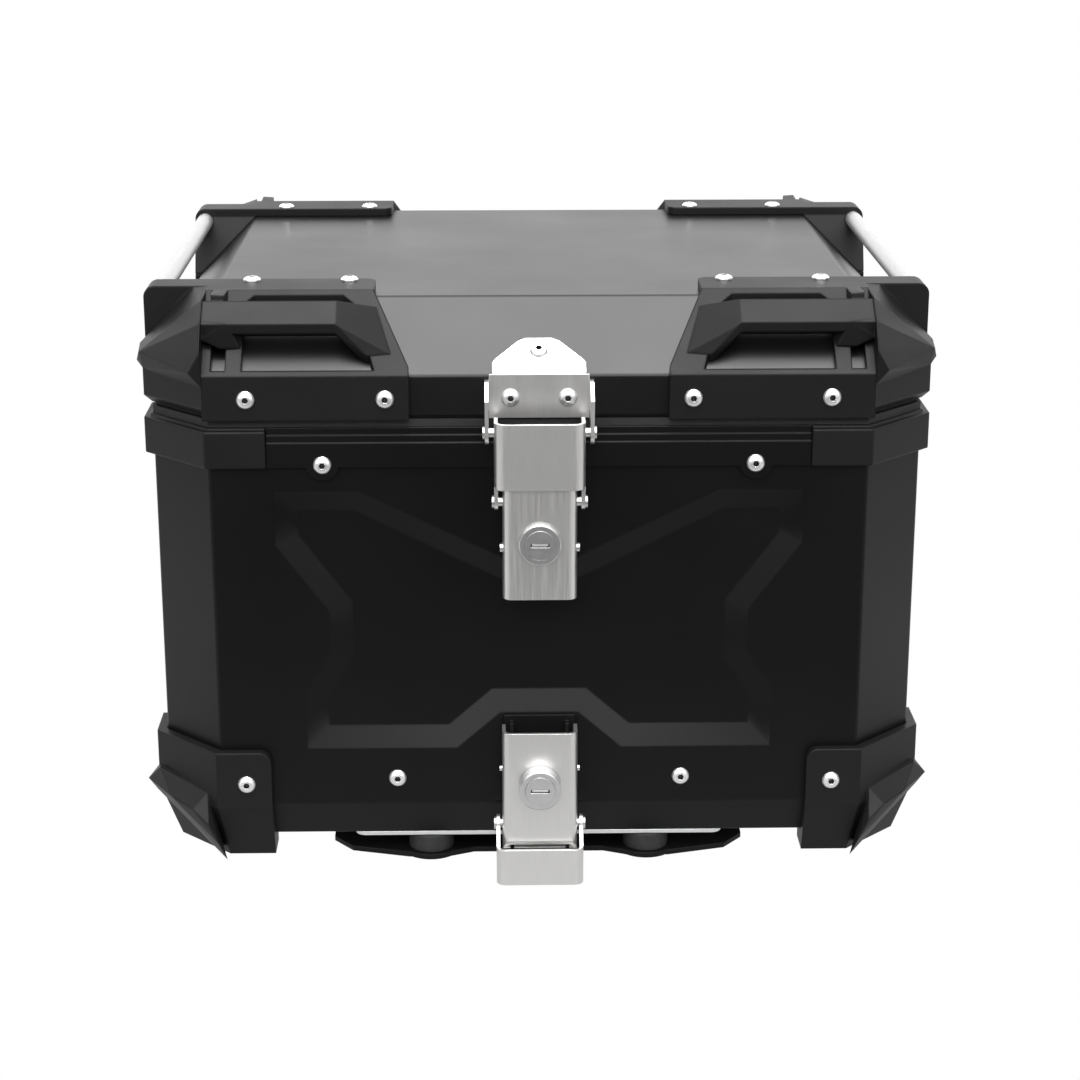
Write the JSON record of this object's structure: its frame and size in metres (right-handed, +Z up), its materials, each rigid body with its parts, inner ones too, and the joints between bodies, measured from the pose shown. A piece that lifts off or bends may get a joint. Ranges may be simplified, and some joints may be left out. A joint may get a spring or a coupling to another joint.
{
  "type": "top case",
  "caption": "Square hard top case for a motorcycle: folded metal box and hinged lid, corner guards with handles, luggage rods, key-locked draw latches and a rack plate.",
  "frame": {"origin": "centre of the rack plate's bottom face, which lies on the motorcycle's carrier", "axes": "+Z up, -Y towards the latches, +X to the right when the latches are faced"},
  "size_m": [0.437, 0.4018, 0.3235],
  "materials": {
    "case_powder_coat": "satin black powder coat, fine grain",
    "lid_paint": "smooth satin black paint",
    "moulded_plastic": "black moulded plastic, fine spark texture",
    "bracket_coat": "satin black coating",
    "stainless_sheet": "brushed stainless steel",
    "pin_steel": "turned steel",
    "screw_steel": "bright plated",
    "lock_metal": "satin plated zinc",
    "rod_aluminium": "satin anodised",
    "zinc_plate": "zinc plated",
    "rack_coat": "black coat",
    "buffer_rubber": "matte",
    "seal_rubber": "matte",
    "mat_foam": "matte closed-cell foam"
  },
  "bodies": {
    "rack": {"rack_plate": "rack_coat", "rack_buffers": "buffer_rubber"},
    "case": {"floor_pan": "case_powder_coat", "wall_front": "case_powder_coat", "wall_rear": "case_powder_coat", "wall_left": "case_powder_coat", "wall_right": "case_powder_coat", "floor_mat": "mat_foam", "foot_plate": "zinc_plate", "foot_plate_screws": "screw_steel", "rail_front": "case_powder_coat", "rail_rear": "case_powder_coat", "rail_left": "case_powder_coat", "rail_right": "case_powder_coat", "rim_corner_front_left": "moulded_plastic", "rim_corner_front_right": "moulded_plastic", "rim_corner_rear_left": "moulded_plastic", "rim_corner_rear_right": "moulded_plastic", "rim_seal": "seal_rubber", "rail_screws": "screw_steel", "body_screws": "screw_steel", "foot_guard_front_left": "moulded_plastic", "foot_guard_front_right": "moulded_plastic", "foot_guard_rear_left": "moulded_plastic", "foot_guard_rear_right": "moulded_plastic", "foot_guard_screws": "screw_steel", "hinge_body_leaves": "bracket_coat", "hinge_pins": "pin_steel", "catch_bracket": "bracket_coat", "lower_bracket": "bracket_coat", "bracket_screws": "screw_steel", "lower_pivot_pin": "pin_steel"},
    "lid": {"lid_shell": "lid_paint", "lid_frame": "moulded_plastic", "lid_guard_front_left": "moulded_plastic", "lid_guard_front_right": "moulded_plastic", "lid_guard_rear_left": "moulded_plastic", "lid_guard_rear_right": "moulded_plastic", "lid_guard_screws": "screw_steel", "roof_screws": "screw_steel", "rod_left": "rod_aluminium", "rod_right": "rod_aluminium", "hinge_lid_leaves": "bracket_coat", "keeper_plate": "stainless_sheet", "keeper_screws": "screw_steel", "keeper_pins": "pin_steel"},
    "link": {"latch_link": "stainless_sheet", "link_pins": "pin_steel"},
    "lever": {"latch_lever": "stainless_sheet", "lever_stub_pins": "pin_steel", "lock_housing": "lock_metal"},
    "upper_key": {"key_plug": "lock_metal", "lock_cam": "stainless_sheet"},
    "lower_lever": {"lower_lever": "stainless_sheet", "lower_stub_pins": "pin_steel", "lower_lock_housing": "lock_metal", "bail_pins": "pin_steel"},
    "lower_key": {"lower_key_plug": "lock_metal", "lower_lock_cam": "stainless_sheet"},
    "bail": {"bail": "stainless_sheet"}
  },
  "joints": [
    {"name": "case_release", "type": "slide", "parent": "rack", "child": "case", "axis": [0, -1, 0], "range_m": [0, 0.016]},
    {"name": "lid_hinge", "type": "hinge", "parent": "case", "child": "lid", "pos_m": [0, 0.1885, 0.2574], "axis": [-1, 0, 0], "range_deg": [0, 100]},
    {"name": "link_pivot", "type": "hinge", "parent": "lid", "child": "link", "pos_m": [0, -0.1885, 0.254], "axis": [-1, 0, 0], "range_deg": [0, 60]},
    {"name": "lever_pivot", "type": "hinge", "parent": "link", "child": "lever", "pos_m": [0, -0.193, 0.218], "axis": [-1, 0, 0], "range_deg": [0, 90]},
    {"name": "upper_key_turn", "type": "hinge", "parent": "lever", "child": "upper_key", "pos_m": [0, -0.2, 0.1965], "axis": [0, 1, 0], "range_deg": [0, 90]},
    {"name": "lower_lever_pivot", "type": "hinge", "parent": "case", "child": "lower_lever", "pos_m": [0, -0.191, 0.022], "axis": [1, 0, 0], "range_deg": [0, 75]},
    {"name": "bail_swing", "type": "hinge", "parent": "lower_lever", "child": "bail", "pos_m": [0, -0.1895, 0.0341], "axis": [1, 0, 0], "range_deg": [-75, 0]},
    {"name": "lower_key_turn", "type": "hinge", "parent": "lower_lever", "child": "lower_key", "pos_m": [0, -0.2, 0.0606], "axis": [0, 1, 0], "range_deg": [0, 90]}
  ],
  "couplings": [
    {"joint": "bail_swing", "follows": "lower_lever_pivot", "ratio": -1}
  ]
}
